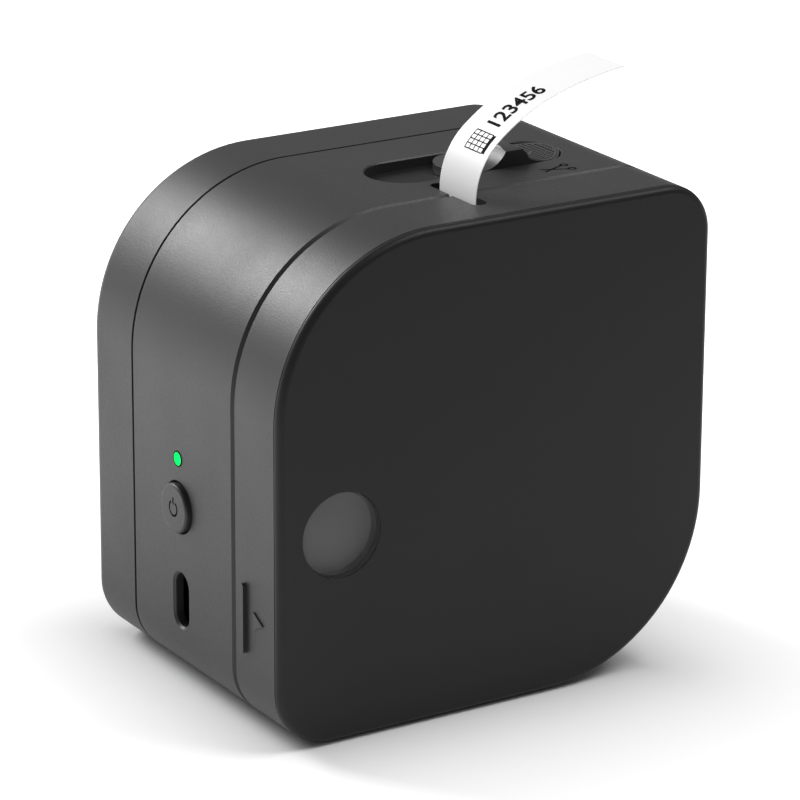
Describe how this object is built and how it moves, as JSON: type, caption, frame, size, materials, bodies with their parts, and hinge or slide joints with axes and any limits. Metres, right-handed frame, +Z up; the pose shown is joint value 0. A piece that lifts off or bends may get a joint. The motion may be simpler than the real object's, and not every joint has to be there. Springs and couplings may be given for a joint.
{
  "type": "label maker",
  "caption": "Desk-top thermal label printer in a rounded square case, with a pull-off front cover, tape cassette, window, side controls and a thumb-slide cutter.",
  "frame": {"origin": "on the table, under the middle of the case", "axes": "+X right as the front face is seen, +Y from the front face to the back, +Z up"},
  "size_m": [0.0931, 0.0694, 0.1151],
  "materials": {
    "case_black": "fine matt texture",
    "fascia_black": "fine matt texture",
    "lever_black": "satin",
    "inner_plastic": "moulded",
    "clear_lens": "clear",
    "cassette_grey": "moulded",
    "sticker_grey": "printed film",
    "tape_white": "coated paper film",
    "rubber": "matt",
    "steel": "ground",
    "aluminium": "satin",
    "gear_white": "moulded acetal",
    "board_green": "solder mask",
    "chip_black": "moulded epoxy",
    "light_green": "lit light pipe",
    "ceramic": "glazed ceramic",
    "cell_silver": "foil",
    "foam": "foam"
  },
  "bodies": {
    "shell": {"middle_shell": "case_black", "rear_cover": "case_black", "rubber_feet": "rubber", "case_screws": "steel", "frame_plate": "inner_plastic", "plate_screws": "steel", "lever_tray": "inner_plastic", "blade_anvil": "steel", "return_spring": "steel", "print_head": "ceramic", "head_sink": "aluminium", "head_springs": "steel", "roller_bracket": "steel", "arm_screws": "steel", "roller_bushes": "gear_white", "idler_pin": "steel", "idler_clip": "steel", "motor_bracket": "steel", "bracket_screws": "steel", "drive_motor": "steel", "motor_screws": "steel", "side_board": "board_green", "tact_switch": "chip_black", "led_pipe": "light_green", "status_led": "light_green", "usb_shell": "steel", "usb_tongue": "chip_black", "main_board": "board_green", "board_chips": "chip_black", "wireless_module": "steel", "battery_plug": "gear_white", "board_screws": "steel", "battery_cell": "cell_silver", "battery_pad": "foam"},
    "cover": {"front_cover": "case_black", "front_fascia": "fascia_black", "window_lens": "clear_lens", "lens_ring": "fascia_black"},
    "cassette": {"cassette_case": "cassette_grey", "cassette_lid": "cassette_grey", "cassette_sticker": "sticker_grey", "label_strip": "tape_white", "printed_label": "tape_white"},
    "spool": {"tape_spool": "inner_plastic", "tape_roll": "tape_white"},
    "cutter": {"cutter_lever": "lever_black", "cutter_carriage": "inner_plastic", "cutter_blade": "steel", "blade_screws": "steel"},
    "button": {"power_button": "case_black", "switch_stem": "chip_black"},
    "motor_rotor": {"motor_shaft": "steel", "motor_pinion": "gear_white"},
    "idler": {"idler_gear": "gear_white"},
    "roller": {"roller_shaft": "steel", "platen_roller": "rubber", "roller_gear": "gear_white"}
  },
  "joints": [
    {"name": "cover_pull", "type": "slide", "parent": "shell", "child": "cover", "axis": [0, -1, 0], "range_m": [0, 0.04]},
    {"name": "cassette_pull", "type": "slide", "parent": "shell", "child": "cassette", "axis": [0, -1, 0], "range_m": [0, 0.022]},
    {"name": "lever_slide", "type": "slide", "parent": "shell", "child": "cutter", "axis": [-1, 0, 0], "range_m": [0, 0.0146], "stiffness_N_per_m": 60, "springref_m": -0.005, "deforming": ["return_spring"]},
    {"name": "button_press", "type": "slide", "parent": "shell", "child": "button", "axis": [1, 0, 0], "range_m": [0, 0.0005], "stiffness_N_per_m": 800, "springref_m": -0.0005},
    {"name": "motor_spin", "type": "hinge", "parent": "shell", "child": "motor_rotor", "pos_m": [0.02126, 0, 0.05034], "axis": [0, 1, 0], "continuous": true},
    {"name": "idler_spin", "type": "hinge", "parent": "shell", "child": "idler", "pos_m": [0.01192, 0, 0.06146], "axis": [0, 1, 0], "continuous": true},
    {"name": "roller_spin", "type": "hinge", "parent": "shell", "child": "roller", "pos_m": [0.00526, -0.01932, 0.073], "axis": [0, 1, 0], "continuous": true},
    {"name": "spool_spin", "type": "hinge", "parent": "cassette", "child": "spool", "pos_m": [-0.01946, -0.01932, 0.0365], "axis": [0, 1, 0], "continuous": true}
  ],
  "couplings": [
    {"joint": "cassette_pull", "follows": "cover_pull", "ratio": 0.55},
    {"joint": "idler_spin", "follows": "motor_spin", "ratio": -0.33333},
    {"joint": "roller_spin", "follows": "motor_spin", "ratio": 0.15556},
    {"joint": "spool_spin", "follows": "motor_spin", "ratio": -0.035}
  ]
}
